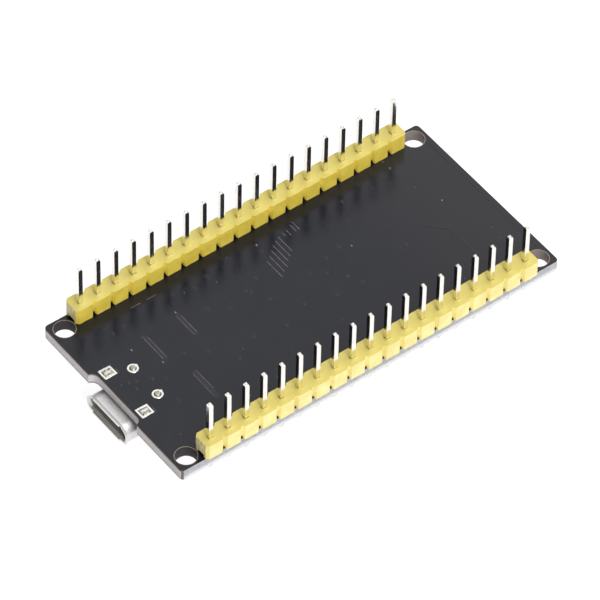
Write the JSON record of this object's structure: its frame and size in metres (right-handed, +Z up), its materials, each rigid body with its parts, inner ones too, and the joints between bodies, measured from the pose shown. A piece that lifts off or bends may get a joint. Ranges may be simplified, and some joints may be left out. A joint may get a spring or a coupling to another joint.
{
  "type": "microcontroller development board",
  "caption": "Wireless microcontroller development board with two soldered rows of square header pins, a micro USB socket, press buttons and a screened radio module.",
  "frame": {"origin": "middle of the footprint, on the surface that the radio module's can rests on", "axes": "+X along the board from the USB end to the antenna end, +Y across the board to pin row a, +Z up along the pins"},
  "size_m": [0.0558, 0.028, 0.0126],
  "materials": {
    "solder_mask": "near-black glossy solder mask over glass-epoxy board",
    "board_core": "routed glass-epoxy edge, pale grey",
    "header_plastic": "satin yellow moulded plastic",
    "pin_plating": "bright tin or nickel plating",
    "plated_steel": "satin nickel-plated sheet",
    "can_metal": "satin tin-plated sheet",
    "black_plastic": "matt black",
    "chip_moulding": "fine matt epoxy moulding",
    "button_plastic": "satin off-white",
    "capacitor_moulding": "matt amber moulding",
    "led_lens": "clear diffuse resin on a white base",
    "solder": "bright solder",
    "copper_finish": "tinned or gold-washed copper",
    "legend_ink": "white printed outlines",
    "ceramic_chip": "matt ceramic"
  },
  "bodies": {
    "board": {"circuit_board": "solder_mask", "header_strip_a": "header_plastic", "header_strip_b": "header_plastic", "pin_a_01": "pin_plating", "pin_a_02": "pin_plating", "pin_a_03": "pin_plating", "pin_a_04": "pin_plating", "pin_a_05": "pin_plating", "pin_a_06": "pin_plating", "pin_a_07": "pin_plating", "pin_a_08": "pin_plating", "pin_a_09": "pin_plating", "pin_a_10": "pin_plating", "pin_a_11": "pin_plating", "pin_a_12": "pin_plating", "pin_a_13": "pin_plating", "pin_a_14": "pin_plating", "pin_a_15": "pin_plating", "pin_a_16": "pin_plating", "pin_a_17": "pin_plating", "pin_a_18": "pin_plating", "pin_a_19": "pin_plating", "pin_b_01": "pin_plating", "pin_b_02": "pin_plating", "pin_b_03": "pin_plating", "pin_b_04": "pin_plating", "pin_b_05": "pin_plating", "pin_b_06": "pin_plating", "pin_b_07": "pin_plating", "pin_b_08": "pin_plating", "pin_b_09": "pin_plating", "pin_b_10": "pin_plating", "pin_b_11": "pin_plating", "pin_b_12": "pin_plating", "pin_b_13": "pin_plating", "pin_b_14": "pin_plating", "pin_b_15": "pin_plating", "pin_b_16": "pin_plating", "pin_b_17": "pin_plating", "pin_b_18": "pin_plating", "pin_b_19": "pin_plating", "usb_shell": "plated_steel", "usb_tongue": "black_plastic", "module_board": "solder_mask", "shield_can": "can_metal", "radio_chip": "chip_moulding", "flash_chip": "chip_moulding", "crystal": "can_metal", "reset_switch_base": "black_plastic", "reset_switch_cover": "plated_steel", "reset_snap_dome": "plated_steel", "boot_switch_base": "black_plastic", "boot_switch_cover": "plated_steel", "boot_snap_dome": "plated_steel", "voltage_regulator": "chip_moulding", "usb_serial_chip": "chip_moulding", "tantalum_capacitor": "capacitor_moulding", "power_led": "led_lens"},
    "reset_plunger": {"reset_button": "button_plastic"},
    "boot_plunger": {"boot_button": "button_plastic"}
  },
  "joints": [
    {"name": "reset_press", "type": "slide", "parent": "board", "child": "reset_plunger", "axis": [0, 0, 1], "range_m": [0, 0.00025], "stiffness_N_per_m": 7200},
    {"name": "boot_press", "type": "slide", "parent": "board", "child": "boot_plunger", "axis": [0, 0, 1], "range_m": [0, 0.00025], "stiffness_N_per_m": 7200}
  ]
}
